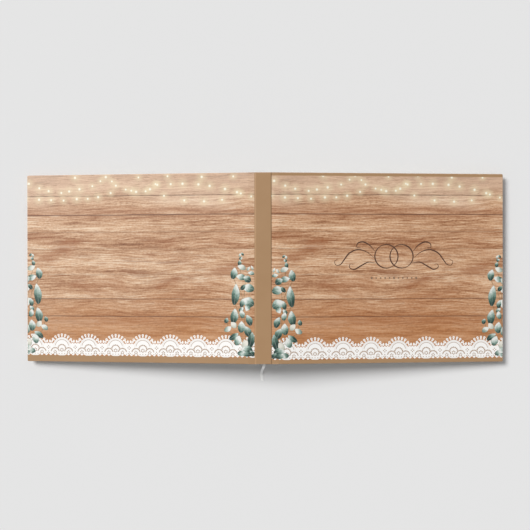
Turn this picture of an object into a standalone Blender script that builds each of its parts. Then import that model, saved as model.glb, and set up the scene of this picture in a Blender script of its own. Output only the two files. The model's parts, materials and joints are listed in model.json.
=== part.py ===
"""A wedding guest book, a case-bound landscape book, lying open and face down like a low tent.

The two boards and the spine board are wrapped in printed paper. The wrap bends along a joint on each side
of the spine. The sewn pages hang under the spine and open in the middle, and a ribbon marker lies in the
gutter and falls out at the tail.

Metres. +X runs from the spine to the front cover, +Y to the head of the book, +Z up. The origin is on the
table under the middle of the spine. A side's own axes are "along", from its hinge to its fore edge, and
"out", square to the cover and away from the pages.
"""

import math

import bmesh
import bpy
from mathutils import Matrix, Vector

# Cover
COVER_HEIGHT = 0.210  # head to tail
COVER_REACH = 0.260  # joint hinge to fore edge, along the outer face
BOARD_THICK = 0.0023
SPINE_BOARD_THICK = 0.0020
SHEET = 0.0002  # cover paper and endpapers
TURN_IN = 0.015  # cover paper folded over a board's edge onto its inside
JOINT_WIDTH = 0.0065  # between the two hinge lines of a joint
JOINT_THICK = 0.0008  # wrap, gauze and endpaper glued into one strip
JOINT_DEPTH = 0.0004  # the strip lies this far under the face of the cover

# Pages
SIGNATURES_PER_SIDE = 4
SIGNATURE_THICK = 0.0011
LEAF_THICK = 0.0003
SQUARE = 0.003  # the cover's overhang around the closed pages
SEWN_DEPTH = 0.0020  # glued strip of the folded backs

# Spine
LINING_THICK = 0.0002
MULL_THICK = 0.0003
THREAD_THICK = 0.0005
BAND_RADIUS = 0.0009
RIBBON_THICK = 0.0016
RIBBON_START_IN = 0.004  # from the head of the pages
THREAD_END_IN = 0.012  # last stitch, from the head and the tail of the pages

# Fits
GLUE = 0.0002  # glue line between a board and its paper
GAP = 0.0003  # between pieces that touch or move
BOARD_SETBACK = 0.0008  # board edge to its hinge line, so that the cover can fold right back
REST_SLOPE = math.radians(5.7)  # of each cover, down from the spine

# The ribbon wanders along the gutter: across, and share of the way from the middle to its start
RIBBON_HELD = ((0.0, 1.0), (0.0009, 0.5), (0.0002, 0.0), (-0.0009, -0.5), (0.0005, -1.0))

# It leaves the gutter at the tail and falls to the table: across, past the cover's tail edge, and
# height over the table as a share of the gutter's
RIBBON_FALL = (
    (0.0008, -0.0010, 1.00),
    (0.0004, 0.0022, 0.965),
    (-0.0003, 0.0050, 0.87),
    (-0.0012, 0.0074, 0.64),
    (-0.0020, 0.0095, 0.36),
    (-0.0026, 0.0119, 0.13),
    (-0.0029, 0.0150, 0.012),
    (-0.0026, 0.0185, 0.00),
    (-0.0020, 0.0230, 0.00),
)

# Places that follow from the sizes
SIN, COS = math.sin(REST_SLOPE), math.cos(REST_SLOPE)
HALF_HEIGHT = COVER_HEIGHT / 2
PAGE_HALF_HEIGHT = HALF_HEIGHT - SQUARE
COVER_OUT = JOINT_THICK / 2 + JOINT_DEPTH  # outer face of a cover, from its hinge line
TURN_IN_OUT = COVER_OUT - 2 * SHEET - 2 * GLUE - BOARD_THICK  # inner face of the turned-in paper
COVER_IN = TURN_IN_OUT - GLUE - SHEET  # inner face of the pastedown
PITCH = SIGNATURE_THICK + GAP
HALF_BLOCK = GAP / 2 + SIGNATURES_PER_SIDE * PITCH + SHEET
JOINT_X = HALF_BLOCK + GAP - COVER_IN
SPINE_HALF = JOINT_X - JOINT_THICK / 2 - GAP
COVER_LENGTH = COVER_REACH - JOINT_WIDTH

# A side of pages turns about a line over its outer face, set so that the open cover lies on the pages
PAGES_DROP = (GAP - COVER_IN - (JOINT_X - HALF_BLOCK) * SIN) / COS
PAGE_REACH = COVER_REACH - PAGES_DROP - SQUARE
PAGE_DEPTH = HALF_BLOCK - GAP / 2
PAGES_Z = PAGE_REACH * SIN + PAGE_DEPTH * COS
JOINT_Z = PAGES_Z + PAGES_DROP
SPINE_TOP = JOINT_Z + COVER_OUT

# Layers under the spine, top to bottom
BOARD_TOP = SPINE_TOP - SHEET - GLUE
BOARD_BOTTOM = BOARD_TOP - SPINE_BOARD_THICK
SPINE_TURN_IN_BOTTOM = BOARD_BOTTOM - GLUE - SHEET
LINING_TOP = SPINE_TURN_IN_BOTTOM - GAP
MULL_TOP = LINING_TOP - LINING_THICK - GLUE
THREAD_Z = MULL_TOP - MULL_THICK - GLUE - THREAD_THICK / 2
SEWN_TOP = THREAD_Z - THREAD_THICK / 2 - GLUE
SEWN_BOTTOM = SEWN_TOP - SEWN_DEPTH
RIBBON_Z = SEWN_BOTTOM - GAP - RIBBON_THICK / 2
RIBBON_LYING_Z = RIBBON_THICK / 2 + SHEET / 2
ROOT = PAGES_Z - (RIBBON_Z - RIBBON_THICK / 2 - GAP)  # where the free pages start, along a side

ROUTE_STEP = 0.0042  # between the points of the ribbon's tube

PAPER = (0.90, 0.88, 0.84)
BROWN_PAPER = (0.40, 0.25, 0.14)
PRINTED_PAPER = (0.62, 0.45, 0.32)
GREYBOARD = (0.42, 0.39, 0.35)
KRAFT = (0.62, 0.50, 0.36)
GAUZE = (0.86, 0.83, 0.76)
LINEN = (0.93, 0.91, 0.86)
BAND_COTTON = (0.85, 0.78, 0.66)
SATIN = (0.93, 0.92, 0.90)


def clear_scene():
    for thing in list(bpy.data.objects):
        bpy.data.objects.remove(thing, do_unlink=True)


def new_collection(name):
    found = bpy.data.collections.new(name)
    bpy.context.scene.collection.children.link(found)
    return found


def material(name, color, roughness):
    made = bpy.data.materials.new(name)
    made.use_nodes = True
    shader = made.node_tree.nodes["Principled BSDF"]
    shader.inputs["Base Color"].default_value = (*color, 1)
    shader.inputs["Roughness"].default_value = roughness
    shader.inputs["Metallic"].default_value = 0
    made.diffuse_color = (*color, 1)
    return made


def place(thing, color, roughness, parent, collection):
    """Gives an object its own material, its parent and its collection."""
    thing.data.materials.append(material(thing.name, color, roughness))
    thing.parent = parent
    collection.objects.link(thing)
    return thing


def axis(name, location, turn=0, parent=None):
    """An empty on a joint's axis, turned about Y."""
    empty = bpy.data.objects.new(name, None)
    empty.empty_display_size = 0.01
    empty.location = location
    empty.rotation_euler = (0, turn, 0)
    empty.parent = parent
    book.objects.link(empty)
    return empty


def box_mesh(name, low, high):
    size = [high[n] - low[n] for n in range(3)]
    middle = [(high[n] + low[n]) / 2 for n in range(3)]
    shape = bmesh.new()
    bmesh.ops.create_cube(shape, size=1, matrix=Matrix.Translation(middle) @ Matrix.Diagonal((*size, 1)))
    mesh = bpy.data.meshes.new(name)
    shape.to_mesh(mesh)
    shape.free()
    return mesh


def box(name, low, high, color, roughness, parent=None):
    thing = bpy.data.objects.new(name, box_mesh(name, low, high))
    return place(thing, color, roughness, parent, book)


def cut_box(thing, low, high):
    """Cuts a box, given in the object's own axes, out of an object."""
    cutter = bpy.data.objects.new(f"{thing.name}_cutter", box_mesh(thing.name, low, high))
    cutter.hide_render = True
    cutter.display_type = "WIRE"
    cutter.parent = thing.parent
    cutters.objects.link(cutter)
    cut = thing.modifiers.new("cut", "BOOLEAN")
    cut.operation = "DIFFERENCE"
    cut.object = cutter


def bar(name, outline, half_height, color, roughness, parent=None):
    """A bar along Y with the outline, a list of (x, z) that runs counter-clockwise seen from -Y."""
    curve = bpy.data.curves.new(name, "CURVE")
    curve.dimensions = "2D"
    curve.fill_mode = "BOTH"
    curve.extrude = half_height
    spline = curve.splines.new("POLY")
    spline.points.add(len(outline) - 1)
    for point, (x, z) in zip(spline.points, outline):
        point.co = (x, z, 0, 1)
    spline.use_cyclic_u = True
    thing = bpy.data.objects.new(name, curve)
    thing.rotation_euler = (math.radians(90), 0, 0)
    return place(thing, color, roughness, parent, book)


def tube(name, route, thick, color, roughness):
    curve = bpy.data.curves.new(name, "CURVE")
    curve.dimensions = "3D"
    curve.bevel_depth = thick / 2
    curve.bevel_resolution = 2
    curve.use_fill_caps = True
    spline = curve.splines.new("POLY")
    spline.points.add(len(route) - 1)
    for point, place_at in zip(spline.points, route):
        point.co = (*place_at, 1)
    return place(bpy.data.objects.new(name, curve), color, roughness, None, book)


def arc(x, z, radius, start, end, steps=6):
    """Points on an arc in the XZ plane, with its angles in degrees."""
    angles = [math.radians(start + (end - start) * n / steps) for n in range(steps + 1)]
    return [(x + radius * math.cos(a), z + radius * math.sin(a)) for a in angles]


def mirrored(outline, side):
    """An outline for one side. It is turned round on the back's side, so that it still runs the same way."""
    return outline if side > 0 else [(-x, z) for x, z in reversed(outline)]


def between(start, end, start_at, end_at, at):
    return start.lerp(end, (at - start_at) / (end_at - start_at))


def smooth_route(points, step):
    """Points about a step apart on a centripetal Catmull-Rom curve through the given ones."""
    points = [Vector(point) for point in points]
    points = [2 * points[0] - points[1], *points, 2 * points[-1] - points[-2]]
    route = []
    for group in zip(points, points[1:], points[2:], points[3:]):
        times = [0.0]
        for start, end in zip(group, group[1:]):
            times.append(times[-1] + (end - start).length ** 0.5)
        count = max(1, round((group[2] - group[1]).length / step))
        for n in range(count):
            at = times[1] + (times[2] - times[1]) * n / count
            level = group
            for reach in (1, 2):
                pairs = enumerate(zip(level, level[1:]))
                level = [between(a, b, times[k], times[k + reach], at) for k, (a, b) in pairs]
            route.append(between(*level, times[1], times[2], at))
    return [*route, points[-2]]


def wrap_paper(name, x_range, pocket_x, window_x, top, bottom, color, parent=None):
    """Cover paper around a board: a box cut by the board's pocket and by the window that the turn-ins leave."""
    low, high = x_range
    thing = box(name, (low, -HALF_HEIGHT, bottom), (high, HALF_HEIGHT, top), color, 0.4, parent)
    edge = HALF_HEIGHT - SHEET
    cut_box(thing, (pocket_x[0], -edge, bottom + SHEET), (pocket_x[1], edge, top - SHEET))
    edge = HALF_HEIGHT - TURN_IN
    cut_box(thing, (window_x[0], -edge, bottom - SHEET), (window_x[1], edge, bottom + 2 * SHEET))


def across(side, start, end):
    """A range along a side as a low and a high x."""
    return (start, end) if side > 0 else (-end, -start)


def cover(name, side, hinge):
    """Joint strip, board, cover paper and pastedown of one side, closed down about their two hinge lines."""
    end = JOINT_THICK / 2
    strip = arc(JOINT_WIDTH, 0, end, -90, 90) + arc(0, 0, end, 90, 270)
    bar(f"{name}_joint_cloth", mirrored(strip, side), HALF_HEIGHT, BROWN_PAPER, 0.5, hinge)

    fold = axis(f"{name}_cover_axis", (side * JOINT_WIDTH, 0, 0), parent=hinge)
    start, end = BOARD_SETBACK, COVER_LENGTH
    past = start - 2 * SHEET
    wrap_paper(
        f"{name}_cover_paper",
        across(side, start, end),
        across(side, past, end - SHEET),
        across(side, past, end - TURN_IN),
        COVER_OUT,
        TURN_IN_OUT,
        PRINTED_PAPER,
        fold,
    )
    inset = SHEET + GLUE
    low, high = across(side, start, end - inset)
    edge, top = HALF_HEIGHT - inset, COVER_OUT - inset
    box(f"{name}_board", (low, -edge, top - BOARD_THICK), (high, edge, top), GREYBOARD, 0.9, fold)
    low, high = across(side, start, end - SQUARE)
    edge = HALF_HEIGHT - SQUARE
    box(f"{name}_pastedown", (low, -edge, COVER_IN), (high, edge, COVER_IN + SHEET), PAPER, 0.8, fold)


def page_outline(depth, thick):
    """A folded sheet or a signature, round at its fold and square at the fore edge. depth is its outer face."""
    fold = arc(ROOT + thick / 2, -depth - thick / 2, thick / 2, 90, 270)
    return [*fold, (PAGE_REACH, -depth - thick), (PAGE_REACH, -depth)]


def pages(name, side, numbers, hinge):
    """Flyleaf and signatures of one side, from the cover inwards, and what is left for a loose leaf."""
    bar(f"{name}_flyleaf", mirrored(page_outline(0, SHEET), side), PAGE_HALF_HEIGHT, PAPER, 0.8, hinge)
    for n, number in enumerate(numbers):
        thick = SIGNATURE_THICK
        if number == SIGNATURES_PER_SIDE:
            thick -= LEAF_THICK + GAP  # its last leaf is the one that turns
        outline = page_outline(SHEET + GAP + n * PITCH, thick)
        bar(f"signature_{number}", mirrored(outline, side), PAGE_HALF_HEIGHT, PAPER, 0.8, hinge)


def turning_leaf(hinge):
    """The last leaf before the middle, on the front's side, which turns over to the back's side."""
    depth = PAGE_DEPTH - LEAF_THICK / 2
    leaf_axis = axis("leaf_axis", (ROOT + LEAF_THICK / 2, 0, -depth), parent=hinge)
    half = LEAF_THICK / 2
    length = PAGE_REACH - ROOT - half
    outline = [*arc(0, 0, half, 90, 270), (length, -half), (length, half)]
    bar("turning_leaf", outline, PAGE_HALF_HEIGHT, PAPER, 0.8, leaf_axis)


def spine():
    """Spine board in its paper, and the lined, gauzed, sewn back of the pages under it."""
    x_range = (-SPINE_HALF, SPINE_HALF)
    past = SPINE_HALF + 2 * SHEET
    wrap_paper(
        "spine_paper", x_range, (-past, past), (-past, past), SPINE_TOP, SPINE_TURN_IN_BOTTOM, BROWN_PAPER
    )
    edge = HALF_HEIGHT - SHEET - GLUE
    board = (-SPINE_HALF, -edge, BOARD_BOTTOM), (SPINE_HALF, edge, BOARD_TOP)
    box("spine_board", *board, GREYBOARD, 0.9)
    edge = PAGE_HALF_HEIGHT
    lining = (-HALF_BLOCK, -edge, LINING_TOP - LINING_THICK), (HALF_BLOCK, edge, LINING_TOP)
    box("spine_lining", *lining, KRAFT, 0.9)
    mull = (-HALF_BLOCK, -edge, MULL_TOP - MULL_THICK), (HALF_BLOCK, edge, MULL_TOP)
    box("mull", *mull, GAUZE, 0.95)

    folds = []
    for n in range(2 * SIGNATURES_PER_SIDE):
        x = (SIGNATURES_PER_SIDE - n - 0.5) * PITCH
        folds += arc(x, SEWN_TOP - SIGNATURE_THICK / 2, SIGNATURE_THICK / 2, 0, 180, 4)
    back = [(-HALF_BLOCK, SEWN_BOTTOM), (HALF_BLOCK, SEWN_BOTTOM)]
    shoulder = SEWN_TOP - SIGNATURE_THICK
    back += [(HALF_BLOCK, shoulder), *folds, (-HALF_BLOCK, shoulder)]
    bar("sewn_back", back, edge, PAPER, 0.8)


def sewing_thread():
    """One thread that runs up and down the backs of all the signatures."""
    reach, route = PAGE_HALF_HEIGHT - THREAD_END_IN, []
    for n in range(2 * SIGNATURES_PER_SIDE):
        x = (n + 0.5 - SIGNATURES_PER_SIDE) * PITCH
        end = reach if n % 2 == 0 else -reach
        route.append((x, -end, THREAD_Z))
        if n < 2 * SIGNATURES_PER_SIDE - 1:
            turn = arc(x + PITCH / 2, end, PITCH / 2, 180, 0)
            route += [(a, end + abs(b - end) * math.copysign(1, end), THREAD_Z) for a, b in turn[:-1]]
    tube("sewing_thread", route, THREAD_THICK, LINEN, 0.7)


def end_band(name, end):
    """The woven band over one end of the sewn back."""
    y = end * (PAGE_HALF_HEIGHT + GAP + BAND_RADIUS)
    z = SEWN_TOP - BAND_RADIUS
    route = [(-HALF_BLOCK, y, z), (HALF_BLOCK, y, z)]
    tube(name, route, 2 * BAND_RADIUS, BAND_COTTON, 0.7)


def ribbon():
    start = PAGE_HALF_HEIGHT - RIBBON_START_IN
    held = [(x, share * start, RIBBON_Z) for x, share in RIBBON_HELD]
    rise = RIBBON_Z - RIBBON_LYING_Z
    fall = [(x, -HALF_HEIGHT - past, RIBBON_LYING_Z + share * rise) for x, past, share in RIBBON_FALL]
    tube("ribbon_marker", smooth_route([*held, *fall], ROUTE_STEP), RIBBON_THICK, SATIN, 0.4)


clear_scene()
book = new_collection("wedding_guest_book")
cutters = new_collection("cutters")
spine()
sewing_thread()
end_band("head_band", 1)
end_band("tail_band", -1)
ribbon()
for side_name, side_sign in (("front", 1), ("back", -1)):
    turn = side_sign * REST_SLOPE
    joint_axis = axis(f"{side_name}_joint_axis", (side_sign * JOINT_X, 0, JOINT_Z), turn)
    cover(side_name, side_sign, joint_axis)
    pages_axis = axis(f"{side_name}_pages_axis", (side_sign * HALF_BLOCK, 0, PAGES_Z), turn)
    first = range(1, SIGNATURES_PER_SIDE + 1)
    last = range(2 * SIGNATURES_PER_SIDE, SIGNATURES_PER_SIDE, -1)
    pages(side_name, side_sign, first if side_sign > 0 else last, pages_axis)
    if side_sign > 0:
        turning_leaf(pages_axis)
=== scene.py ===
import json
import math
import random

import bmesh
import bpy
from mathutils import Matrix, Vector


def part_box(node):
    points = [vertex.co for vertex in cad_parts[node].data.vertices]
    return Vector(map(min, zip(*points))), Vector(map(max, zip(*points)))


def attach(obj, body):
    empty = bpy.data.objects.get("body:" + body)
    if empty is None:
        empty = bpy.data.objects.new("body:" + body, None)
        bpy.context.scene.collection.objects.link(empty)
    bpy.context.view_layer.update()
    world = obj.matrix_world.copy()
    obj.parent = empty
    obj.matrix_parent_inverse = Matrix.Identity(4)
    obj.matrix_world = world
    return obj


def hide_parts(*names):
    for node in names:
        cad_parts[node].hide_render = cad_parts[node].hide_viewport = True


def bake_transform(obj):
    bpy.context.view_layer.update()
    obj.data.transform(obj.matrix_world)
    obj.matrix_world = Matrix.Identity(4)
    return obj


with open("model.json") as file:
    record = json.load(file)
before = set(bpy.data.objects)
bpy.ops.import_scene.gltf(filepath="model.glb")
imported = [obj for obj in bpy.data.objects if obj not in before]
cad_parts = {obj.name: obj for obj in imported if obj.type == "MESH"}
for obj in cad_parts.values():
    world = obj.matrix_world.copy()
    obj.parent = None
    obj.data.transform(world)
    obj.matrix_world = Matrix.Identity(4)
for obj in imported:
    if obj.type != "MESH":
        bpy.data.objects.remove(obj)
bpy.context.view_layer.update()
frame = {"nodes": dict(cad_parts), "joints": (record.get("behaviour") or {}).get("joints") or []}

# A wedding guest book, case-bound in printed paper, lying open and face down like a low tent.
# Metres. +X runs from the spine to the front cover, +Y to the head of the book, +Z up.
# A side's own axes are "along", from its hinge to its fore edge, Y, and "out", away from the pages.

nodes = frame["nodes"]
hinges = {joint["child"]: Vector(joint["pos_m"]) for joint in frame["joints"]}
MM = 0.001
SIDES = {"front": 1, "back": -1}
rng = random.Random(11)

# ---------------------------------------------------------------- sizes
REST_SLOPE = math.radians(5.7)
SIN, COS = math.sin(REST_SLOPE), math.cos(REST_SLOPE)
CLOSING = math.radians(84.3)  # from lying open to closed
HALF_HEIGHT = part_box("front_cover_paper")[1].y
PAGE_HALF_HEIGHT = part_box("front_flyleaf")[1].y
SPINE_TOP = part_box("spine_paper")[1].z
SPINE_TURN_IN_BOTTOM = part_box("spine_paper")[0].z
SEWN_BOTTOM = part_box("sewn_back")[0].z
PAPER = 0.2 * MM
COVER_OUT = 0.8 * MM  # outer face of a cover, from its hinge line
TURN_IN_FACE = -2.3 * MM  # inner face of the turned-in paper
TURN_IN = 15 * MM
TURN_ROUND = 0.62 * MM  # radius of the paper where it turns round a board's edge
COVER_CORNER = 1.3 * MM
COVER_START = 1.1 * MM
# From a cover's own hinge to its fore edge, along the slope
COVER_LENGTH = (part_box("front_cover_paper")[1].x - hinges["front_cover"].x - COVER_OUT * SIN) / COS
JOINT_WIDTH = (hinges["front_cover"] - hinges["front_joint"]).length
SPINE_EDGE = 8.0 * MM  # half the flat top of the spine
WORN_REACH = 267.6 * MM  # from the middle of the spine to a cover's fore edge, as it lies open
BROAD_FACE = 1.5e-4  # square metres: a face this large is flat, and is shaded flat
TINY = 1e-6

# ---------------------------------------------------------------- node helpers


class Value:
    """A node's output that takes part in sums. Each sum is a Math node."""

    def __init__(self, socket):
        self.socket = socket

    def __add__(self, other):
        return maths("ADD", self, other)

    def __sub__(self, other):
        return maths("SUBTRACT", self, other)

    def __rsub__(self, other):
        return maths("SUBTRACT", other, self)

    def __mul__(self, other):
        return maths("MULTIPLY", self, other)

    def __gt__(self, other):
        return maths("GREATER_THAN", self, other)

    def __lt__(self, other):
        return maths("LESS_THAN", self, other)

    def __abs__(self):
        return maths("ABSOLUTE", self)

    __radd__ = __add__
    __rmul__ = __mul__


def feed(socket, value):
    """Links a node's output to an input, or sets the input to a plain value."""
    if isinstance(value, Value):
        socket.id_data.links.new(value.socket, socket)
    else:
        socket.default_value = value


def add_node(kind, inputs, tree=None, **settings):
    """One shader node with its settings and inputs, in the tree that its inputs come from."""
    tree = tree or next(value.socket.id_data for value in inputs.values() if isinstance(value, Value))
    node = tree.nodes.new("ShaderNode" + kind)
    for key, value in settings.items():
        setattr(node, key, value)
    for name, value in inputs.items():
        feed(node.inputs[name], value)
    return node


def result(kind, inputs, output=0, **settings):
    """One output of a new node."""
    return Value(add_node(kind, inputs, **settings).outputs[output])


def maths(operation, *values):
    return result("Math", dict(enumerate(values)), operation=operation)


def highest(*values):
    return maths("MAXIMUM", *values)


def length(a, b):
    return maths("SQRT", a * a + b * b)


def wave(value, period):
    return maths("SINE", value * (2 * math.pi / period))


def split(vector):
    """X and Y of a vector."""
    parts = add_node("SeparateXYZ", {"Vector": vector}).outputs
    return Value(parts["X"]), Value(parts["Y"])


def ramp_down(value, start, end, kind="SMOOTHSTEP"):
    """1 up to start, 0 from end on."""
    inputs = {"Value": value, "From Min": start, "From Max": end, "To Min": 1.0, "To Max": 0.0}
    return result("MapRange", inputs, "Result", interpolation_type=kind)


def ramp_up(value, start, end):
    """0 up to start, 1 from end on."""
    inputs = {"Value": value, "From Min": start, "From Max": end, "To Min": 0.0, "To Max": 1.0}
    return result("MapRange", inputs, "Result", interpolation_type="SMOOTHSTEP")


def band(value, middle, start, end):
    """1 as near the middle as start, 0 from end on to either side."""
    return ramp_down(abs(value - middle), start, end)


def mix(factor, low, high, blend="MIX"):
    """Colour mixed from low to high."""
    return result("Mix", {0: factor, 6: low, 7: high}, 2, data_type="RGBA", blend_type=blend)


def colours(value, stops):
    """Colour ramp through (place, colour) stops."""
    node = add_node("ValToRGB", {"Fac": value})
    elements = node.color_ramp.elements
    elements[0].position, elements[0].color = stops[0]
    elements[1].position, elements[1].color = stops[-1]
    for place, colour in stops[1:-1]:
        elements.new(place).color = colour
    return Value(node.outputs["Color"])


def noise(vector, scale, detail=2.0, rough=0.5, distort=0.0):
    inputs = {"Vector": vector, "Scale": scale, "Detail": detail, "Roughness": rough, "Distortion": distort}
    return result("TexNoise", inputs, "Fac")


def stretched(vector, scale, move=(0, 0, 0)):
    """Vector stretched and then moved."""
    return result("Mapping", {"Vector": vector, "Location": move, "Scale": scale})


def paint(red, green, blue):
    """Colour from its display values, 0 to 255."""
    def linear(value):
        value /= 255
        return value / 12.92 if value <= 0.04045 else ((value + 0.055) / 1.055) ** 2.4
    return (linear(red), linear(green), linear(blue), 1.0)


def by_name(sockets):
    return {socket.name: Value(socket) for socket in sockets if socket.name}


def new_group(name, outs, **numbers):
    """Shader node group on a vector. An input's spaces are written as underscores."""
    tree = bpy.data.node_groups.new(name, "ShaderNodeTree")
    tree.interface.new_socket("Vector", in_out="INPUT", socket_type="NodeSocketVector")
    for key, number in numbers.items():
        label = key.replace("_", " ")
        tree.interface.new_socket(label, in_out="INPUT", socket_type="NodeSocketFloat").default_value = number
    for label, kind in outs.items():
        tree.interface.new_socket(label, in_out="OUTPUT", socket_type="NodeSocket" + kind)
    return by_name(tree.nodes.new("NodeGroupInput").outputs), tree.nodes.new("NodeGroupOutput").inputs


def use(group, vector, **numbers):
    """Places a group in a material and gives its outputs by name."""
    inputs = {key.replace("_", " "): number for key, number in numbers.items()}
    node = add_node("Group", {}, tree=vector.socket.id_data, node_tree=bpy.data.node_groups[group])
    for key, value in {"Vector": vector, **inputs}.items():
        feed(node.inputs[key], value)
    return by_name(node.outputs)


def new_material(name, roughness=0.5, **plain):
    """Material with the inputs of its Principled shader and its texture coordinates."""
    made = bpy.data.materials.new(name)
    made.use_nodes = True
    tree = made.node_tree
    shader = tree.nodes["Principled BSDF"].inputs
    shader["Roughness"].default_value = roughness
    for key, value in plain.items():
        shader[key.replace("_", " ")].default_value = value
    return made, shader, by_name(add_node("TexCoord", {}, tree=tree).outputs)


def bumped(shader, height, strength, distance):
    feed(shader["Normal"], result("Bump", {"Height": height, "Strength": strength, "Distance": distance}))


# ---------------------------------------------------------------- effects used by several materials


def paper_fibre_group():
    """Cloudy tone and fine fibres of uncoated paper and board."""
    outs = {"Fibres": "Float", "Clouds": "Float"}
    given, out = new_group("paper_fibre", outs, Fibre_Scale=900.0, Cloud_Scale=60.0)
    long_way = stretched(given["Vector"], (1, 0.35, 1))
    feed(out["Fibres"], noise(long_way, given["Fibre Scale"], 4, 0.65, 0.6))
    feed(out["Clouds"], noise(given["Vector"], given["Cloud Scale"], 3, 0.55))


def rubbed_edges_group():
    """Mask of the head, tail and fore edges, where handling rubs the paper."""
    given, out = new_group("rubbed_edges", {"Wear": "Float"}, Half_Height=0.105, Reach=0.268)
    x, y = split(given["Vector"])
    nearest = maths("MINIMUM", given["Half Height"] - abs(y), given["Reach"] - abs(x))
    uneven = noise(given["Vector"], 160, 4, 0.7)
    feed(out["Wear"], ramp_down(nearest, 0.1 * MM, 1.1 * MM) * ramp_up(uneven, 0.38, 0.68))


# Lines between the planks of the artwork, by height over the middle of the cover, and their darkness
PLANK_LINES = (
    (0.0810, 0.80),
    (0.0595, 0.90),
    (0.0405, 0.35),
    (0.0215, 0.30),
    (-0.0070, 0.22),
    (-0.0340, 0.62),
    (-0.0535, 0.75),
)
# Streaks in the wood: how many to a metre along and across the planks, noise detail, roughness and
# distortion, and share of the tone
GRAIN = (
    ((6, 75, 1), 3, 0.50, 0.4, 0.30),
    ((17, 430, 1), 4, 0.66, 0.3, 0.26),
    ((44, 1080, 1), 3, 0.62, 0.2, 0.44),
)
# Brown figures in the wood: right, up, half width, half height, lean in degrees, darkness
WOOD_FIGURES = (
    (0.042, 0.021, 0.038, 0.0085, 27, 0.85),
    (0.061, -0.017, 0.016, 0.0090, 14, 0.60),
    (0.016, 0.036, 0.026, 0.0050, 0, 0.45),
    (0.161, 0.030, 0.024, 0.0045, 3, 0.50),
    (0.163, -0.015, 0.030, 0.0060, 14, 0.70),
    (0.229, -0.002, 0.026, 0.0100, 10, 0.80),
    (0.243, 0.039, 0.024, 0.0060, -4, 0.45),
)


def wood_figures(flat, streak):
    """Mask of the brown figures, ragged at their edges and broken up by the streaks."""
    figures = 0.0
    ragged = (noise(stretched(flat, (1, 2.2, 1)), 55, 4, 0.62) - 0.5) * 2.6
    for right, up, half_width, half_height, lean, darkness in WOOD_FIGURES:
        place = {"Location": (right, up, 0), "Rotation": (0, 0, math.radians(lean)), "Vector": flat}
        place["Scale"] = (half_width, half_height, 1)
        inside = result("Mapping", place, vector_type="TEXTURE")
        away = result("VectorMath", {0: inside}, "Value", operation="LENGTH")
        figures = highest(figures, ramp_down(away + ragged, 0.1, 1.3) * darkness)
    return figures * (streak * 0.30 + 0.62)


def wood_planks_group():
    """Warm planks that run across the cover, lit at the top, with flowing grain and knots."""
    given, out = new_group("wood_planks", {"Color": "Color", "Lit": "Float"})
    flat = given["Vector"]
    x, y = split(flat)
    number = lines = 0.0
    near_y = y + (noise(flat, 22) - 0.5) * 0.0012
    for place, darkness in PLANK_LINES:
        number = number + (near_y > place)
        lines = lines + band(near_y, place, 0.1 * MM, 0.9 * MM) * darkness
    lines = lines * ramp_up(noise(stretched(flat, (26, 300, 1)), 1.0, 2), 0.12, 0.55)
    chance = result("TexWhiteNoise", {"W": number + 4.3}, "Value", noise_dimensions="1D")

    bend = noise(stretched(flat, (1, 1.8, 1)), 11, 2, 0.5) - 0.5
    grain_at = result("CombineXYZ", {"X": x + chance * 1.7, "Y": y + bend * 0.012, "Z": number})
    tone = (noise(stretched(flat, (1, 1.3, 1)), 420, 2, 0.6) - 0.5) * 0.15 + (chance - 0.5) * 0.05
    for scale, detail, rough, distort, share in GRAIN:
        tone = tone + noise(stretched(grain_at, scale), 1.0, detail, rough, distort) * share
    wood = colours(tone, [
        (0.35, paint(110, 66, 40)),
        (0.42, paint(160, 110, 76)),
        (0.48, paint(197, 153, 118)),
        (0.54, paint(222, 184, 150)),
        (0.61, paint(243, 218, 190)),
    ])
    # Knots lie in patches, most of them in the middle of the cover, and clouds lean across the planks
    patch = ramp_up(noise(stretched(flat, (1, 1.6, 1), (0.37, 0.11, 0)), 11, 3, 0.5, 1.2), 0.46, 0.60)
    streak = ramp_up(noise(stretched(grain_at, (16, 210, 1)), 1.0, 4, 0.62), 0.46, 0.66)
    knots = patch * streak * band(y, 0.004, 0.024, 0.052)
    wood = mix(knots * 0.62, wood, paint(140, 86, 55))
    leaning = result("Mapping", {"Vector": flat, "Rotation": (0, 0, 0.42), "Scale": (16, 38, 1)})
    clouds = ramp_up(noise(leaning, 1.0, 3, 0.55, 0.9), 0.50, 0.66) * ramp_down(y, 0.030, 0.052)
    wood = mix(clouds * 0.26, wood, paint(168, 108, 70))
    wood = mix(wood_figures(flat, streak), wood, paint(158, 96, 56))
    # Pale at the top, under the lights, and warmer towards the lace
    lit = ramp_up(y + bend * 0.05, 0.058, 0.088)
    wood = mix(lit * 0.56, wood, paint(233, 204, 178))
    warm = ramp_down(y + bend * 0.08, -0.082, -0.006)
    wood = mix(warm * 0.56, wood, paint(186, 120, 62))
    wood = mix(band(y, 0.0615, 0.002, 0.010) * 0.32, wood, paint(178, 124, 95))
    wood = mix(band(y, -0.058, 0.001, 0.008) * 0.36, wood, paint(172, 114, 73))
    # Fine dark lines follow the contours of the grain
    rings = noise(stretched(grain_at, (11, 170, 1), (0.21, 0.4, 0)), 1.0, 3, 0.55, 0.4)
    veins = 0.0
    for level in (0.44, 0.50, 0.56):
        veins = highest(veins, band(rings, level, 0.002, 0.014))
    wood = mix(veins * 0.36, wood, paint(134, 86, 56))
    feed(out["Color"], mix(lines, wood, paint(92, 55, 36)))
    feed(out["Lit"], lit)


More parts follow.
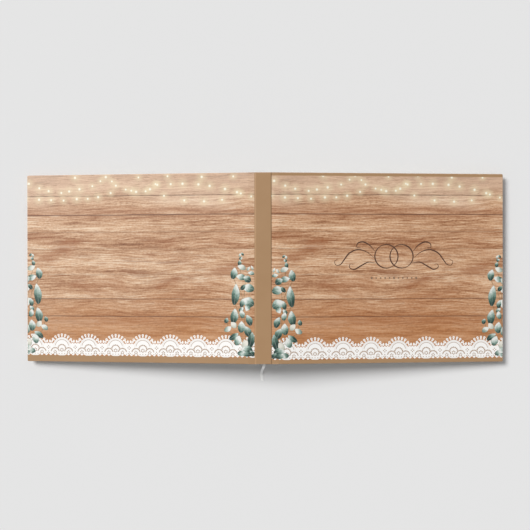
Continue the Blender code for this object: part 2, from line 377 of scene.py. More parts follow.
# Swags of lights: left, right, height of their left and right ends, dip in the middle, how many lights
LIGHT_SWAGS = (
    (0.003, 0.088, 0.0955, 0.0975, 0.011, 8),
    (0.001, 0.098, 0.0795, 0.0835, 0.005, 8),
    (0.097, 0.152, 0.0965, 0.0925, 0.009, 8),
    (0.150, 0.256, 0.0930, 0.0790, -0.006, 8),
    (0.160, 0.242, 0.0802, 0.0815, 0.007, 5),
    (0.058, 0.235, 0.1012, 0.1012, 0.000, 6),
)
LIGHT_POINT = 1.9 * MM
LIGHT_HALO = 8.8 * MM


def string_lights_group():
    """Small warm lights on loose strings, each a bright point in a soft glow."""
    given, out = new_group("string_lights", {"Points": "Float", "Glow": "Float"})
    points, glow = 0.0, 0.0
    for left, right, left_high, right_high, dip, count in LIGHT_SWAGS:
        for n in range(count):
            share = n / (count - 1)
            x = left + (right - left) * share + rng.uniform(-1, 1) * 2.2 * MM
            y = left_high + (right_high - left_high) * share - 4 * dip * share * (1 - share)
            y += rng.uniform(-1, 1) * 0.9 * MM
            apart = result("VectorMath", {0: given["Vector"], 1: (x, y, 0)}, "Value", operation="DISTANCE")
            size = rng.uniform(0.8, 1.15)
            points = highest(points, ramp_down(apart, 0.3 * MM, LIGHT_POINT * size))
            glow = glow + ramp_down(apart, 0.0, LIGHT_HALO * size, "SMOOTHERSTEP") * 0.62
    feed(out["Points"], points)
    feed(out["Glow"], maths("MINIMUM", glow, 1.0))


LACE_REPEAT = 31.0 * MM
FAN_CENTRE = (0, 10.0)  # of a scallop, over the lace's bottom, in millimetres, as are all the lace's sizes
PICOT_DEGREES = 17
SMALL_PICOT = 1.55 * MM  # half a small picot's width, between two fans
# Rings of round openings: centre, radius of the ring, degrees from one to the next, radius of an opening,
# and the height from which they start, if not all the way round
OPENINGS = (
    (FAN_CENTRE, 7.8, 9, 0.48, (10.5, 11.8)),
    ((0, 7.8), 4.4, 24, 0.80, (7.2, 7.8)),
    ((0, 6.2), 1.6, 60, 0.66, None),
    ((7.8, 4.0), 4.6, 20, 0.74, (4.2, 5.0)),
    ((7.8, 4.0), 1.4, 72, 0.62, None),
    ((15.5, 9.2), 1.4, 90, 0.62, None),
    ((15.5, 3.5), 1.2, 120, 0.58, None),
)


def about(x, y, centre):
    """Distance and angle of a point about a centre."""
    dx, dy = x - centre[0] * MM, y - centre[1] * MM
    return length(dx, dy), maths("ARCTAN2", dx, dy)


def ring_dots(polar, radius, degrees, dot):
    """Dots evenly spaced on a circle."""
    far, angle = polar
    beside = maths("PINGPONG", angle, math.radians(degrees) / 2) * (radius * MM)
    soft = 0.12
    return ramp_down(length(beside, far - radius * MM), (dot - soft) * MM, (dot + soft) * MM)


def lace_band_group():
    """Scalloped lace with a picot edge: a mask of its thread, and of the openings in it."""
    outs = {"Thread": "Float", "Holes": "Float"}
    given, out = new_group("lace_band", outs, First_Scallop=0.0, Bottom=-0.1)
    right, up = split(given["Vector"])
    x = maths("PINGPONG", right - given["First Scallop"], LACE_REPEAT / 2)
    y = up - given["Bottom"]
    fan = about(x, y, FAN_CENTRE)
    # A wavy strip joins the fans
    top_edge = maths("COSINE", x * (2 * math.pi / (3.1 * MM))) * (0.5 * MM) + 13.8 * MM
    low_edge = maths("COSINE", x * (2 * math.pi / (LACE_REPEAT / 6))) * (0.8 * MM) + 0.9 * MM
    strip = ramp_down(y - top_edge, -0.1 * MM, 0.2 * MM) * ramp_up(y - low_edge, -0.1 * MM, 0.2 * MM)
    body = highest(ramp_down(fan[0], 10.2 * MM, 10.5 * MM), strip)
    # Picots stand round the fan, each a small loop on two legs
    above = ramp_up(y, 14.2 * MM, 15.0 * MM)
    loops = ring_dots(fan, 13.4, PICOT_DEGREES, 1.25) * above
    legs = ring_dots(fan, 11.6, PICOT_DEGREES, 0.85) * above
    eyes = ring_dots(fan, 13.4, PICOT_DEGREES, 0.42) * above
    small = SMALL_PICOT - maths("PINGPONG", x - LACE_REPEAT / 2, SMALL_PICOT)
    away = length(small, (y - 16.0 * MM) * 0.6)
    tips = ramp_down(away, 0.9 * MM, 1.1 * MM) * ramp_up(fan[0], 11.8 * MM, 12.4 * MM)
    feed(out["Thread"], highest(highest(body, loops), highest(legs, tips)) * (1.0 - eyes))
    # Openings, a row of eyelets along the foot, and a thin seam in the fan
    foot = about(maths("PINGPONG", x, SMALL_PICOT), y, (0, 2.1))
    seam = band(fan[0], 9.3 * MM, 0.1 * MM, 0.3 * MM)
    holes = highest(ramp_down(foot[0], 0.35 * MM, 0.65 * MM), seam * 0.35)
    for centre, radius, degrees, dot, start in OPENINGS:
        dots = ring_dots(about(x, y, centre), radius, degrees, dot)
        if start:
            dots = dots * ramp_up(y, start[0] * MM, start[1] * MM)
        holes = highest(holes, dots)
    feed(out["Holes"], holes)


def print_margin_group():
    """Mask that is 1 where the artwork is printed and 0 on the plain brown paper around it."""
    given, out = new_group("print_margin", {"Printed": "Float"}, Width=0.26, Bottom=-0.1, Top=0.1)
    x, y = split(given["Vector"])
    feed(out["Printed"], (x > 0.0) * (x < given["Width"]) * (y > given["Bottom"]) * (y < given["Top"]))


paper_fibre_group()
rubbed_edges_group()
wood_planks_group()
string_lights_group()
lace_band_group()
print_margin_group()

# ---------------------------------------------------------------- materials


def brown_base(at):
    """Tone of the brown cover paper, its fibres, and the mask of its rubbed edges."""
    fibre = use("paper_fibre", at["Object"], Fibre_Scale=1100.0, Cloud_Scale=34.0)
    wear = use("rubbed_edges", at["Object"], Half_Height=HALF_HEIGHT, Reach=WORN_REACH)["Wear"]
    return mix(fibre["Clouds"], paint(166, 130, 93), paint(175, 139, 102)), fibre, wear


def printed_paper(name, left, width, bottom, top, first_scallop, painted_shade_tint):
    """Cover paper with the printed artwork, under a satin film.

    left is where the artwork starts, across the book. The other places are in the artwork's coordinates. The
    tint is a painted shade multiplied into the artwork, weaker at its pale top.
    """
    made, shader, at = new_material(name, 0.4)
    art = stretched(at["Object"], (1, 1, 0), (-left, 0, 0))
    planks = use("wood_planks", art)
    # Painted shade: the tint darkens the artwork, less towards its pale top
    colour = mix(1.0 - planks["Lit"] * 0.85, planks["Color"], painted_shade_tint, "MULTIPLY")
    lights = use("string_lights", art)
    colour = mix(lights["Glow"] * 0.72, colour, paint(240, 222, 184))
    colour = mix(lights["Points"], colour, paint(255, 252, 232))
    lace = use("lace_band", art, First_Scallop=first_scallop, Bottom=bottom)
    colour = mix(lace["Thread"], colour, mix(lace["Holes"], paint(253, 251, 248), paint(176, 150, 128)))
    printed = use("print_margin", art, Width=width, Bottom=bottom, Top=top)["Printed"]
    brown_tone, fibre, wear = brown_base(at)
    colour = mix(printed, brown_tone, colour)
    feed(shader["Base Color"], mix(wear * 0.35, colour, paint(226, 208, 188)))
    feed(shader["Roughness"], fibre["Clouds"] * 0.10 + 0.36 + wear * 0.2)
    bumped(shader, fibre["Fibres"], 0.10, 0.2 * MM)
    return made


def brown_paper():
    """The same paper where nothing is printed on it."""
    made, shader, at = new_material("plain_brown_cover_paper", 0.4)
    colour, fibre, wear = brown_base(at)
    feed(shader["Base Color"], mix(wear * 0.4, colour, paint(222, 200, 175)))
    feed(shader["Roughness"], fibre["Clouds"] * 0.1 + 0.36)
    bumped(shader, fibre["Fibres"], 0.12, 0.2 * MM)
    return made


def fibre_material(name, low, high, roughness, fibre_scale, cloud_scale, bump, specks=None):
    """Uncoated paper or board."""
    made, shader, at = new_material(name, roughness)
    fibre = use("paper_fibre", at["Object"], Fibre_Scale=fibre_scale, Cloud_Scale=cloud_scale)
    colour = mix(ramp_up(fibre["Fibres"], 0.55, 0.8), mix(fibre["Clouds"], low, high), low)
    if specks:
        colour = mix(ramp_up(noise(at["Object"], 2600, 2, 0.6), 0.66, 0.74), colour, specks)
    feed(shader["Base Color"], colour)
    feed(shader["Roughness"], fibre["Clouds"] * 0.1 + roughness)
    bumped(shader, fibre["Fibres"], bump, 0.3 * MM)
    return made


def woven(name, light, dark, threads):
    """Plain weave on Object coordinates, seen from above."""
    made, shader, at = new_material(name, 0.85)
    weave = highest(*(abs(maths("SINE", way * threads)) for way in split(at["Object"])))
    uneven = noise(at["Object"], 700, 3, 0.6)
    feed(shader["Base Color"], mix(ramp_up(weave + uneven * 0.2, 0.55, 1.05), dark, light))
    bumped(shader, weave, 0.5, 0.2 * MM)
    return made


def band_material():
    """Cotton end band, striped in cream and tan."""
    made, shader, at = new_material("striped_end_band_cotton", 0.7, Sheen_Weight=0.25)
    x, _ = split(at["Object"])
    uneven = noise(at["Object"], 2200, 3, 0.6)
    colour = mix(ramp_up(wave(x, 1.2 * MM), -0.25, 0.25), paint(236, 228, 210), paint(164, 126, 88))
    feed(shader["Base Color"], mix(uneven * 0.3, colour, paint(120, 96, 70)))
    bumped(shader, uneven, 0.4, 0.2 * MM)
    return made


def satin():
    """White satin ribbon: fine ribs across it and a greyer woven edge."""
    made, shader, at = new_material("white_satin_ribbon", 0.32, Sheen_Weight=1.0, Anisotropic=0.5)
    across, along = split(at["UV"])
    ribs = abs(maths("SINE", along * 2400.0))
    selvedge = ramp_up(abs(across - 0.5), 0.40, 0.45)
    colour = mix(noise(at["Object"], 240, 3, 0.5), paint(248, 248, 246), paint(255, 255, 254))
    feed(shader["Base Color"], mix(selvedge * 0.2, colour, paint(226, 224, 220)))
    bumped(shader, ribs * 0.5 + selvedge, 0.25, 0.1 * MM)
    return made


def leaf_print():
    """Watercolour leaf: dark at its stalk, pale at its tip, with a light midrib and a darker rim."""
    made, shader, at = new_material("watercolour_leaf_print", 0.42)
    along, across = split(at["UV"])
    tone = result("Attribute", {}, "Fac", tree=made.node_tree, attribute_name="leaf_tone",
                  attribute_type="GEOMETRY")
    bleed = noise(at["Object"], 330, 4, 0.6, 0.6)
    side = across - 0.5
    colour = colours(along * 0.86 + side * 0.26 + (bleed - 0.58) * 0.50 + (tone - 0.60) * 0.66, [
        (0.0, paint(34, 60, 54)),
        (0.17, paint(72, 102, 90)),
        (0.33, paint(126, 152, 140)),
        (0.48, paint(182, 198, 189)),
        (0.66, paint(238, 239, 233)),
    ])
    colour = mix(ramp_up(tone, 0.80, 0.92) * 0.6, colour, paint(238, 230, 214))
    rim = ramp_up(length(along - 0.5, side), 0.42, 0.50)
    colour = mix(rim * 0.34, colour, paint(86, 120, 108))
    from_rib = abs(side)
    colour = mix(ramp_down(from_rib, 0.010, 0.045) * 0.24, colour, paint(236, 242, 234))
    veins = ramp_up(maths("SINE", (along - from_rib * 0.9) * 52.0), 0.55, 1.0)
    feed(shader["Base Color"], mix(veins * 0.16, colour, paint(60, 98, 88)))
    return made


def uneven_colour(name, low, high, roughness, scale, detail, rough, **plain):
    """Ink or table top: one colour that wanders a little."""
    made, shader, at = new_material(name, roughness, **plain)
    feed(shader["Base Color"], mix(noise(at["Object"], scale, detail, rough), low, high))
    return made


def ink(name, low, high):
    return uneven_colour(name, low, high, 0.45, 420, 3, 0.6)


# Each print's tint is a painted shade multiplied into its artwork; the front cover's is darker than the
# back's
PRINTS = {
    "front": dict(left=0.0090, width=0.3000, bottom=-0.1005, top=0.1015, first_scallop=0.0165,
                  painted_shade_tint=(0.97, 0.91, 0.85, 1)),
    "back": dict(left=-0.2685, width=0.2586, bottom=-0.0979, top=0.1060, first_scallop=0.2270,
                 painted_shade_tint=(0.99, 0.98, 0.96, 1)),
}
printed = {name: printed_paper(f"printed_{name}_cover_paper", **values) for name, values in PRINTS.items()}
brown = brown_paper()
page_paper = fibre_material(
    "page_paper", paint(236, 232, 222), paint(246, 243, 236), 0.72, 1500.0, 90.0, 0.15)
board_grey = fibre_material(
    "greyboard", paint(146, 140, 130), paint(172, 166, 154), 0.85, 700.0, 120.0, 0.5, paint(96, 90, 82))
kraft = fibre_material(
    "kraft_lining_paper", paint(176, 146, 108), paint(198, 168, 128), 0.8, 800.0, 90.0, 0.3,
    paint(132, 104, 72))
gauze = woven("open_mull_gauze", paint(228, 222, 206), paint(150, 140, 118), 2600.0)
linen = woven("waxed_linen_thread", paint(236, 230, 216), paint(176, 164, 140), 5200.0)
band_cotton = band_material()
white_satin = satin()
leaf_ink = leaf_print()
stem_ink = ink("stem_ink", paint(104, 92, 62), paint(146, 126, 88))
script_ink = ink("dark_brown_ornament_ink", paint(70, 44, 32), paint(96, 64, 48))
soft_ink = ink("soft_brown_ornament_ink", paint(120, 94, 74), paint(146, 118, 96))
table_grey = uneven_colour(
    "pale_table", (0.795, 0.795, 0.795, 1), (0.805, 0.805, 0.805, 1), 0.85, 3, 2, 0.5, Specular_IOR_Level=0.1)

# ---------------------------------------------------------------- mesh helpers
CREASE = math.radians(40)  # an edge that bends more than this is shaded as a sharp one


def linked(name, data):
    """New object in the scene, at the origin."""
    thing = bpy.data.objects.new(name, data)
    bpy.context.scene.collection.objects.link(thing)
    return thing


def mesh_object(name, bm, material):
    """Object from a bmesh, with its material."""
    mesh = bpy.data.meshes.new(name)
    bm.to_mesh(mesh)
    bm.free()
    mesh.materials.append(material)
    return linked(name, mesh)


def finish(name, bm, material, body=None, smooth=True):
    """Piece of the book from a bmesh, with its material, its shading and its body."""
    thing = mesh_object(name, bm, material)
    mesh = thing.data
    faces_at_edge = [0] * len(mesh.edges)
    for loop in mesh.loops:
        faces_at_edge[loop.edge_index] += 1
    if smooth:
        mesh.set_sharp_from_angle(angle=CREASE)
    for edge in mesh.edges:
        if faces_at_edge[edge.index] == 1:
            edge.use_edge_sharp = True
    for face in mesh.polygons:
        face.use_smooth = smooth and face.area < BROAD_FACE
    if body:
        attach(thing, body)
    return thing


def thicken(thing, thick, offset=-1, even=True):
    """Gives a sheet its thickness. One that folds flat on itself isn't evened out: its folds would spike."""
    solid = thing.modifiers.new("thickness", "SOLIDIFY")
    solid.thickness = thick
    solid.offset = offset
    solid.use_even_offset = even


def side_axes(side, hinge):
    """Places a side's own (along, Y, out) coordinates in the book's."""
    turn = Matrix(((side * COS, 0, side * SIN), (0, 1, 0), (-SIN, 0, COS)))
    return Matrix.Translation(hinge) @ turn.to_4x4()


def placed(bm, matrix):
    """Moves a mesh into place. A mirrored side's faces are turned round, so that they still point out."""
    bmesh.ops.transform(bm, matrix=matrix, verts=bm.verts)
    if matrix.determinant() < 0:
        bmesh.ops.reverse_faces(bm, faces=bm.faces)


def add_sheet(bm, profile, half_height):
    """Sheet whose profile of (x, z) points is drawn out along Y."""
    verts = [bm.verts.new((x, -half_height, z)) for x, z in profile]
    edges = [bm.edges.new(pair) for pair in zip(verts, verts[1:])]
    drawn = bmesh.ops.extrude_edge_only(bm, edges=edges)["geom"]
    moved = [v for v in drawn if isinstance(v, bmesh.types.BMVert)]
    bmesh.ops.translate(bm, vec=(0, 2 * half_height, 0), verts=moved)


def cut(bm, place, way, **options):
    """Cuts all of a mesh along a plane."""
    geometry = [*bm.verts, *bm.edges, *bm.faces]
    bmesh.ops.bisect_plane(bm, geom=geometry, plane_co=place, plane_no=way, **options)


def length_along(edge, axis):
    """How far an edge runs along one axis."""
    return abs(edge.verts[0].co[axis] - edge.verts[1].co[axis])


def add_box(bm, size, centre):
    """Box of a given size, centred on a point."""
    bmesh.ops.create_cube(bm, size=1)
    bmesh.ops.scale(bm, vec=size, verts=bm.verts)
    bmesh.ops.translate(bm, vec=centre, verts=bm.verts)


def rounded(bm, edges, radius, segments):
    """Rounds the given edges."""
    bmesh.ops.bevel(
        bm, geom=edges, offset=radius, affect="EDGES", segments=segments, profile=0.5, material=-1)


def smoothed(share):
    """0 up to 0, 1 from 1 on, and an even curve between."""
    share = min(max(share, 0), 1)
    return share * share * (3 - 2 * share)


# ---------------------------------------------------------------- ribbon marker
RIBBON_WIDTH = 3.0 * MM
RIBBON_THICK = 0.22 * MM
CORD_RADIUS = 0.8 * MM  # of the round cord that stands for it in CAD
HELD_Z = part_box("ribbon_marker")[1].z - CORD_RADIUS
LYING_Z = 0.9 * MM
LYING_SAG = 0.50 * MM  # how much lower than its route the ribbon lies on the table
TURNING_START = 96.5 * MM  # from the middle of the book, where the ribbon starts to turn flat
TURNING_LENGTH = 8.5 * MM
GATHERED = 0.62  # share of its width that the ribbon keeps where it stands between the pages
CROWN = 0.25 * MM  # how much its middle stands over its edges
CURL = 0.25 * MM  # how much it waves along the table
CURL_TURNS = 420  # radians of that wave to a metre
SLANTED_END = 1.6 * MM
RIBBON_HELD = ((0.0, 0.098), (0.0009, 0.049), (0.0002, 0.0), (-0.0009, -0.049), (0.0005, -0.098))
RIBBON_FALL = (  # across, past the tail edge, and share of the gutter's height
    (0.0008, -0.0010, 1.00),
    (0.0004, 0.0022, 0.965),
    (-0.0003, 0.0050, 0.87),
    (-0.0012, 0.0074, 0.64),
    (-0.0020, 0.0095, 0.36),
    (-0.0026, 0.0119, 0.13),
    (-0.0029, 0.0150, 0.012),
    (-0.0026, 0.0185, 0.00),
    (-0.0020, 0.0230, 0.00),
)


def smooth_route(points, step):
    """Points about a step apart on a centripetal Catmull-Rom curve through the given ones."""
    points = [Vector(point) for point in points]
    points = [2 * points[0] - points[1], *points, 2 * points[-1] - points[-2]]
    route = []
    for group in zip(points, points[1:], points[2:], points[3:]):
        times = [0.0]
        for start, end in zip(group, group[1:]):
            times.append(times[-1] + (end - start).length ** 0.5)
        count = max(1, round((group[2] - group[1]).length / step))
        for n in range(count):
            at = times[1] + (times[2] - times[1]) * n / count
            level = group
            for reach in (1, 2):
                level = [a.lerp(b, (at - times[k]) / (times[k + reach] - times[k]))
                         for k, (a, b) in enumerate(zip(level, level[1:]))]
            route.append(level[0].lerp(level[1], (at - times[1]) / (times[2] - times[1])))
    return [*route, points[-2]]


def ribbon_marker():
    """Satin ribbon: upright between the pages, then turned flat as it comes out at the tail and falls."""
    held = [(x, y, HELD_Z) for x, y in RIBBON_HELD]
    fall = [(x, -HALF_HEIGHT - past, LYING_Z + share * (HELD_Z - LYING_Z)) for x, past, share in RIBBON_FALL]
    route = smooth_route([*held, *fall], 2.1 * MM)
    lengths = [0.0]
    for a, b in zip(route, route[1:]):
        lengths.append(lengths[-1] + (b - a).length)
    bm = bmesh.new()
    uv = bm.loops.layers.uv.new("UVMap")
    rows = len(route) - 1
    bmesh.ops.create_grid(bm, x_segments=6, y_segments=rows, size=0.5, calc_uvs=False)
    for face in bm.faces:
        for loop in face.loops:
            row = round((loop.vert.co.y + 0.5) * rows)
            loop[uv].uv = (loop.vert.co.x + 0.5, lengths[row])
    for vert in bm.verts:
        row = round((vert.co.y + 0.5) * rows)
        across = vert.co.x
        centre = route[row]
        before, after = route[max(row - 1, 0)], route[min(row + 1, rows)]
        way = (after - before).normalized()
        flatness = smoothed((-TURNING_START - centre.y) / TURNING_LENGTH)
        turn = math.radians(90) * (1 - flatness)
        flat_way = Vector((1, 0, 0)) - way * way.x
        upright = way.cross(flat_way)
        wide = flat_way.normalized() * math.cos(turn) + upright.normalized() * math.sin(turn)
        low = 1 - min(max((centre.z - LYING_Z) / (HELD_Z - LYING_Z), 0), 1)
        crown = way.cross(wide).normalized() * (CROWN * (0.25 - across * across) * flatness)
        slant = SLANTED_END * across if row == rows else 0.0
        curl = CURL * math.sin(lengths[row] * CURL_TURNS) * flatness * low
        width = RIBBON_WIDTH * (GATHERED + (1 - GATHERED) * flatness)
        vert.co = centre + wide * (across * width) + crown + way * slant
        vert.co.z += curl - LYING_SAG * low ** 3
    thing = finish("ribbon_marker_satin", bm, white_satin, "spine")
    thicken(thing, RIBBON_THICK, 0)
    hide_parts("ribbon_marker")


ribbon_marker()

# ---------------------------------------------------------------- covers


def cover_wrap(name, side):
    """Printed paper over one board: an open tray with round edges and a lip, drawn as its outer face."""
    bm = bmesh.new()
    reach, thick = COVER_LENGTH - COVER_START, COVER_OUT - TURN_IN_FACE
    start, bottom = COVER_START + TINY, TURN_IN_FACE + TINY
    centre = (COVER_START + reach / 2, 0, COVER_OUT - thick / 2)
    add_box(bm, (reach, 2 * HALF_HEIGHT, thick), centre)
    corners = [e for e in bm.edges if length_along(e, 2) > thick / 2 and e.verts[0].co.x > start]
    rounded(bm, corners, COVER_CORNER, 5)
    rims = [e for e in bm.edges if length_along(e, 2) < TINY and max(v.co.x for v in e.verts) > start]
    rounded(bm, rims, TURN_ROUND, 4)
    inner_y, inner_x = HALF_HEIGHT - TURN_IN, COVER_LENGTH - TURN_IN
    cut(bm, (0, inner_y, 0), (0, 1, 0))
    cut(bm, (0, -inner_y, 0), (0, 1, 0))
    cut(bm, (inner_x, 0, 0), (1, 0, 0))
    gone = []
    for face in bm.faces:
        middle = face.calc_center_median()
        inside = middle.z < bottom and abs(middle.y) < inner_y and middle.x < inner_x
        if middle.x < start or inside:
            gone.append(face)
    bmesh.ops.delete(bm, geom=gone, context="FACES")
    placed(bm, side_axes(side, hinges[f"{name}_cover"]))
    thing = finish(f"{name}_cover_wrap", bm, printed[name], f"{name}_cover")
    thicken(thing, PAPER)
    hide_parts(f"{name}_cover_paper")


def at_spine_edge(x, z):
    """A point of the spine's rounded edge, in the joint's own (along, out) coordinates."""
    dx = x - hinges["front_joint"].x
    return (dx * COS - z * SIN, dx * SIN + z * COS)


GROOVE = (JOINT_WIDTH / 2, 0.42 * MM)  # the middle of the joint, where its two skins meet
SPINE_BEND = 1.8 * MM  # how much of the joint's length bends with the hinge at the spine
COVER_BEND_BEFORE = 1.5 * MM  # how far before its hinge the bend at the cover starts
# Outer face of the joint, from the spine's flat top through the groove and up to the cover's face
SKIN_AT_SPINE = [
    at_spine_edge(SPINE_EDGE, COVER_OUT),
    at_spine_edge(SPINE_EDGE + 0.20 * MM, COVER_OUT - 0.03 * MM),
    at_spine_edge(SPINE_EDGE + 0.45 * MM, COVER_OUT - 0.16 * MM),
    (-0.30 * MM, 0.36 * MM),
    (-0.10 * MM, 0.19 * MM),
    (0.20 * MM, 0.11 * MM),
    (0.70 * MM, 0.12 * MM),
    (1.60 * MM, 0.22 * MM),
    GROOVE,
]
SKIN_AT_COVER = [
    GROOVE,
    (JOINT_WIDTH - 2.20 * MM, 0.51 * MM),
    (JOINT_WIDTH - 1.20 * MM, 0.60 * MM),
    (JOINT_WIDTH - 0.60 * MM, 0.65 * MM),
    (JOINT_WIDTH - 0.15 * MM, 0.69 * MM),
    (JOINT_WIDTH + 0.30 * MM, 0.73 * MM),
    (JOINT_WIDTH + 0.70 * MM, 0.77 * MM),
    (JOINT_WIDTH + COVER_START, COVER_OUT),
]


def joint_bends(name, side):
    spine_hinge, cover_hinge = hinges[f"{name}_joint"], hinges[f"{name}_cover"]
    along = Vector((side * COS, 0, -SIN))
    half = along * SPINE_BEND / 2
    start, end = cover_hinge - along * COVER_BEND_BEFORE, cover_hinge + along * COVER_START
    return (("spine", f"{name}_joint", spine_hinge - half, spine_hinge + half),
            (f"{name}_joint", f"{name}_cover", start, end))


def joint_skins(name, side):
    """The paper that dips into the joint between spine and cover, and the endpaper behind it."""
    to_book = side_axes(side, hinges[f"{name}_joint"])
    middle = (JOINT_WIDTH / 2, -0.40 * MM)
    inner_at_spine = [middle, (1.2 * MM, -0.40 * MM), (0.2 * MM, -0.38 * MM), (-0.5 * MM, -0.32 * MM)]
    inner_at_cover = [(JOINT_WIDTH + 0.6 * MM, -0.42 * MM), (JOINT_WIDTH, -0.40 * MM), middle]
    to_spine, to_cover = joint_bends(name, side)
    skins = (
        ("outer_skin_at_spine", SKIN_AT_SPINE, printed[name], "printed_paper", HALF_HEIGHT, to_spine),
        ("outer_skin_at_cover", SKIN_AT_COVER, printed[name], "printed_paper", HALF_HEIGHT, to_cover),
        ("endpaper_at_spine", inner_at_spine, page_paper, "page_paper", PAGE_HALF_HEIGHT, to_spine),
        ("endpaper_at_cover", inner_at_cover, page_paper, "page_paper", PAGE_HALF_HEIGHT, to_cover),
    )
    for label, profile, material, slot, half_height, joined in skins:
        bm = bmesh.new()
        add_sheet(bm, profile, half_height)
        bmesh.ops.recalc_face_normals(bm, faces=bm.faces)
        faces_up = sum(face.normal.z for face in bm.faces) > 0
        if faces_up != label.startswith("outer"):
            bmesh.ops.reverse_faces(bm, faces=bm.faces)
        placed(bm, to_book)
        thing = finish(f"{name}_joint_{label}", bm, material)
        thicken(thing, PAPER)
        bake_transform(thing)
    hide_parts(f"{name}_joint_cloth")


def spine_wrap():
    """Brown paper over the spine board, turned in at the head and the tail."""
    bm = bmesh.new()
    thick = SPINE_TOP - SPINE_TURN_IN_BOTTOM
    add_box(bm, (2 * SPINE_EDGE, 2 * HALF_HEIGHT, thick), (0, 0, SPINE_TOP - thick / 2))
    rounded(bm, [e for e in bm.edges if length_along(e, 0) > SPINE_EDGE], TURN_ROUND, 4)
    inner = HALF_HEIGHT - TURN_IN
    cut(bm, (0, inner, 0), (0, 1, 0))
    cut(bm, (0, -inner, 0), (0, 1, 0))
    gone = [f for f in bm.faces if abs(f.normal.x) > 0.9
            or (f.normal.z < -0.9 and abs(f.calc_center_median().y) < inner)]
    bmesh.ops.delete(bm, geom=gone, context="FACES")
    thing = finish("spine_wrap", bm, brown, "spine")
    thicken(thing, PAPER)
    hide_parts("spine_paper")


for side_name, side_sign in SIDES.items():
    cover_wrap(side_name, side_sign)
    joint_skins(side_name, side_sign)
spine_wrap()

# ---------------------------------------------------------------- pages
LEAF = 0.13 * MM  # how thick a leaf is
LEAF_PITCH = 0.215 * MM
MIDDLE_PITCH = 0.18 * MM  # of the signature that lies against the turning leaf
FLYLEAF_DEPTH = 0.10 * MM
FIRST_SIGNATURE = 0.5 * MM
SIGNATURE_STEP = 1.4 * MM
PAGES_HINGE = hinges["front_pages"]
SEWN_DEEP = PAGES_HINGE.z - SEWN_BOTTOM - 0.36 * MM
GUTTER_BEND = 8.0 * MM
PAGE_REACH = (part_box("front_flyleaf")[1].x - PAGES_HINGE.x) / COS
TO_TURNING = hinges["turning_leaf"] - PAGES_HINGE
ROOT = TO_TURNING.dot(Vector((COS, 0, -SIN)))  # where the turning leaf's hinge is, along the pages
TURNING_DEPTH = -TO_TURNING.dot(Vector((SIN, 0, COS)))  # how deep in the block the turning leaf lies
SEWN_EDGE = -5.8 * MM  # across, from the pages' hinge to where the leaves start to bend
CLEAR_OF_SEWING = 1.3 * MM


def leaf_profile(depth, reach):
    """Side view of a leaf lying open: from the sewn back, round the gutter and out to its fore edge.

    The points are about the pages' hinge. Each is turned open by its own share of the closing, so that the
    closed leaf comes out straight.
    """
    bend_start = Vector((SEWN_EDGE, -SEWN_DEEP))
    bend = Vector((1, -1)).normalized() * GUTTER_BEND
    points = []
    steps = 18
    for n in range(steps + 1):
        share = n / steps
        turn = smoothed(share) * CLOSING
        s, c = math.sin(turn), math.cos(turn)
        fixed = (Vector((-depth * c, -depth * s)) - bend_start).dot(bend)
        deep = (share * bend.length_squared - fixed) / Vector((s, -c)).dot(bend)
        if deep > CLEAR_OF_SEWING or points:
            points.append((-depth * c + deep * s, -depth * s - deep * c))
    last = deep
    for deep in (max(last + 2 * MM, ROOT), reach):
        if deep > last + 0.1 * MM:
            points.append((-depth * c + deep * s, -depth * s - deep * c))
    return points


def leaves(name, side, depths, replaced, reach=PAGE_REACH):
    """Loose leaves of one signature, as thin sheets that bend at the gutter."""
    bm = bmesh.new()
    for depth in depths:
        trim = rng.uniform(0, 0.25) * MM if reach == PAGE_REACH else 0
        profile = leaf_profile(depth, reach - trim)
        profile = [(side * (PAGES_HINGE.x + x), PAGES_HINGE.z + z) for x, z in profile]
        add_sheet(bm, profile, PAGE_HALF_HEIGHT - rng.uniform(0, 0.15) * MM)
    bmesh.ops.recalc_face_normals(bm, faces=bm.faces)
    thing = finish(name, bm, page_paper)
    thicken(thing, LEAF, 0, even=False)
    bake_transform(thing)
    if replaced:
        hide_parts(replaced)


for side_name, side_sign in SIDES.items():
    leaves(f"{side_name}_flyleaf_sheet", side_sign, [FLYLEAF_DEPTH], f"{side_name}_flyleaf")
    for n in range(4):
        number = n + 1 if side_sign > 0 else 8 - n
        count, pitch = (3, MIDDLE_PITCH) if number == 4 else (5, LEAF_PITCH)
        depths = [FIRST_SIGNATURE + SIGNATURE_STEP * n + pitch * (k + 0.5) for k in range(count)]
        leaves(f"signature_{number}_leaves", side_sign, depths, f"signature_{number}")
leaves("turning_leaf_stub", SIDES["front"], [TURNING_DEPTH], None, ROOT)


def turning_leaf():
    """The leaf that turns over, creased at its hinge."""
    places = [ROOT + n * n * 0.12 * MM for n in range(12)]  # closer together at the crease
    places += [ROOT + 30 * MM, ROOT + 90 * MM, PAGE_REACH - 0.1 * MM]
    profile = [(along, -TURNING_DEPTH) for along in places]
    bm = bmesh.new()
    add_sheet(bm, profile, PAGE_HALF_HEIGHT - 0.05 * MM)
    bmesh.ops.recalc_face_normals(bm, faces=bm.faces)
    placed(bm, side_axes(SIDES["front"], PAGES_HINGE))
    thing = finish("turning_leaf_sheet", bm, page_paper)
    thicken(thing, LEAF, 0, even=False)
    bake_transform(thing)
    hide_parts("turning_leaf")


turning_leaf()

# ---------------------------------------------------------------- end bands
THREAD_TURN = 0.6 * MM


